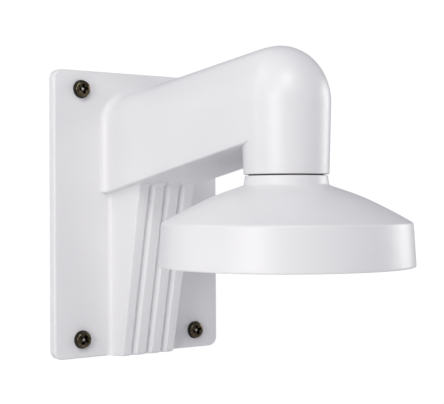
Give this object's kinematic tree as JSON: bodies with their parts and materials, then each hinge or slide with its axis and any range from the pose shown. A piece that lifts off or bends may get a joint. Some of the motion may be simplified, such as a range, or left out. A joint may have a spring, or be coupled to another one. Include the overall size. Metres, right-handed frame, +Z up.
{
  "type": "dome camera wall bracket",
  "caption": "White die-cast wall bracket for a dome security camera: grooved flange and arm with a hollow elbow, and a dished cap that screws into its socket.",
  "frame": {"origin": "centre of the flange's back, on the wall plane", "axes": "+X to the bracket's right seen from the room, +Y into the wall, so the arm reaches along -Y, +Z up"},
  "size_m": [0.1398, 0.2289, 0.1841],
  "materials": {
    "white_paint": "fine satin powder coat on aluminium",
    "bronze_screw": "dark bronze plated screw",
    "zinc_steel": "zinc plated",
    "black_oxide": "black oxide",
    "black_rubber": "matt moulded rubber",
    "grey_foam": "closed-cell foam",
    "nylon": "natural nylon"
  },
  "bodies": {
    "wall_bracket": {"bracket": "white_paint", "rear_plate": "zinc_steel", "flange_gasket": "grey_foam", "cable_grommet": "black_rubber", "clinch_nut_left_top": "zinc_steel", "clinch_nut_left_bottom": "zinc_steel", "clinch_nut_right_top": "zinc_steel", "clinch_nut_right_bottom": "zinc_steel", "corner_screw_left_top": "bronze_screw", "corner_screw_left_bottom": "bronze_screw", "corner_screw_right_top": "bronze_screw", "corner_screw_right_bottom": "bronze_screw", "screw_washer_left_top": "black_rubber", "screw_washer_left_bottom": "black_rubber", "screw_washer_right_top": "black_rubber", "screw_washer_right_bottom": "black_rubber", "lock_pad": "nylon", "lock_screw": "black_oxide"},
    "neck_ring": {"neck_seal": "black_rubber"},
    "cap_assembly": {"cap": "white_paint", "camera_plate": "zinc_steel", "camera_seal": "grey_foam", "lanyard_hook": "zinc_steel", "lanyard_screw": "zinc_steel", "plate_screw_1": "zinc_steel", "plate_screw_2": "zinc_steel", "plate_screw_3": "zinc_steel"}
  },
  "joints": [
    {"name": "cap_drop", "type": "slide", "parent": "wall_bracket", "child": "neck_ring", "axis": [0, 0, -1], "range_m": [0, 0.0125]},
    {"name": "cap_turn", "type": "hinge", "parent": "neck_ring", "child": "cap_assembly", "pos_m": [0, -0.159, 0], "axis": [0, 0, -1], "range_deg": [0, 1800]}
  ],
  "couplings": [
    {"joint": "cap_drop", "follows": "cap_turn", "m_per_rad": 0.00039789}
  ]
}
